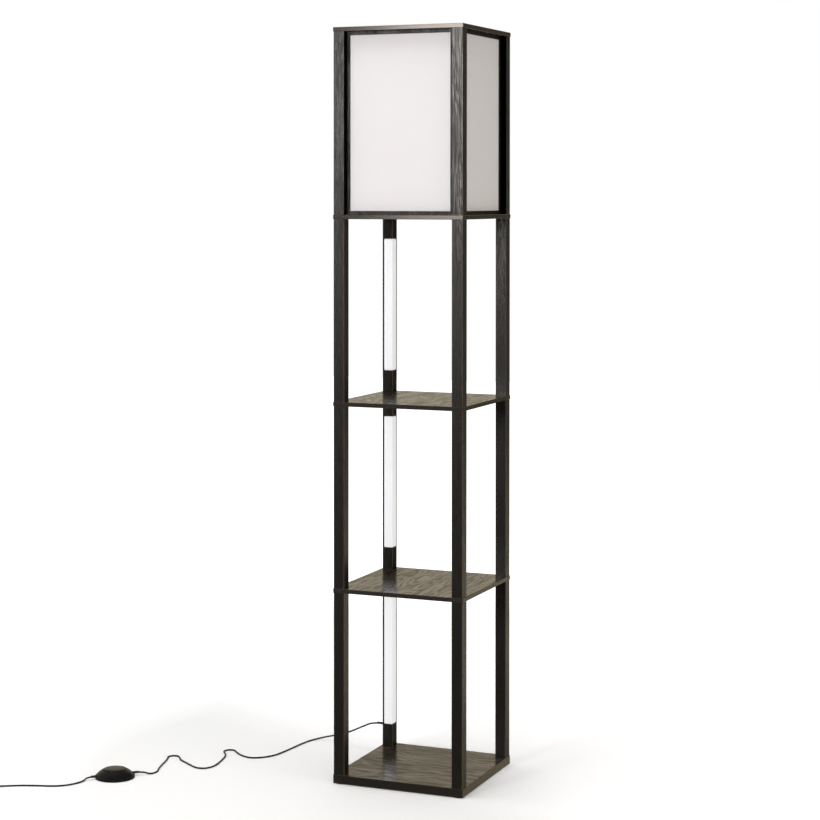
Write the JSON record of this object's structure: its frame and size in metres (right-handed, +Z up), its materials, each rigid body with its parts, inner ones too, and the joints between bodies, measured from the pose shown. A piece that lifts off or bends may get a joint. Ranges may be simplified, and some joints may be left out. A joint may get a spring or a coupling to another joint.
{
  "type": "shelf floor lamp",
  "caption": "Tall square floor lamp with open shelf tiers under a box shade, light bars in one row of posts, and a cord with a foot switch and plug.",
  "frame": {"origin": "centre of the base at floor level, under the felt pads", "axes": "+Z up, +Y to the rear where the cord leaves beside, +X to the lamp's right seen from the front"},
  "size_m": [0.9594, 0.7386, 1.5835],
  "materials": {
    "wood_foil": "satin",
    "shade_cloth": "matte",
    "white_cover": "satin",
    "light_strip": "satin",
    "holder_metal": "satin",
    "socket_plastic": "gloss",
    "bulb_white": "frosted",
    "bulb_metal": "bright",
    "brass": "bright",
    "steel": "bright",
    "felt": "matte",
    "cord_black": "satin",
    "switch_black": "gloss",
    "switch_inner": "matte",
    "foot_rubber": "matte",
    "plug_black": "satin"
  },
  "bodies": {
    "lamp": {"base_board": "wood_foil", "lower_shelf": "wood_foil", "middle_shelf": "wood_foil", "shade_floor_board": "wood_foil", "top_frame": "wood_foil", "bottom_post_front_left": "wood_foil", "bottom_post_front_right": "wood_foil", "bottom_post_rear_right": "wood_foil", "bottom_light_post": "wood_foil", "bottom_light_diffuser": "white_cover", "bottom_light_strip": "light_strip", "lower_post_front_left": "wood_foil", "lower_post_front_right": "wood_foil", "lower_post_rear_right": "wood_foil", "lower_light_post": "wood_foil", "lower_light_diffuser": "white_cover", "lower_light_strip": "light_strip", "upper_post_front_left": "wood_foil", "upper_post_front_right": "wood_foil", "upper_post_rear_right": "wood_foil", "upper_light_post": "wood_foil", "upper_light_diffuser": "white_cover", "upper_light_strip": "light_strip", "shade_post_front_left": "wood_foil", "shade_post_front_right": "wood_foil", "shade_post_rear_right": "wood_foil", "shade_post_rear_left": "wood_foil", "shade_frame_front": "wood_foil", "shade_panel_front": "shade_cloth", "shade_frame_right": "wood_foil", "shade_panel_right": "shade_cloth", "shade_frame_rear": "wood_foil", "shade_panel_rear": "shade_cloth", "shade_frame_left": "wood_foil", "shade_panel_left": "shade_cloth", "post_inserts": "brass", "shelf_studs": "steel", "board_bolts": "steel", "foot_pads": "felt", "holder_cup": "holder_metal", "holder_screws": "steel", "bulb_socket": "socket_plastic", "bulb_cap": "bulb_metal", "bulb_globe": "bulb_white", "inner_cable": "cord_black", "cord_bushing": "cord_black", "switch_base": "switch_inner", "switch_cover": "switch_black", "switch_block": "switch_inner", "switch_spring": "steel", "switch_screws": "steel", "switch_feet": "foot_rubber", "switch_bushings": "cord_black", "cord_to_switch": "cord_black", "cord_from_switch": "cord_black", "cord_coil": "cord_black", "coil_tie": "cord_black", "plug_body": "plug_black", "plug_blades": "brass"},
    "button": {"switch_button": "switch_black"}
  },
  "joints": [
    {"name": "button_press", "type": "slide", "parent": "lamp", "child": "button", "axis": [0, 0, -1], "range_m": [0, 0.003], "stiffness_N_per_m": 1500, "springref_m": -0.001, "deforming": ["switch_spring"]}
  ]
}
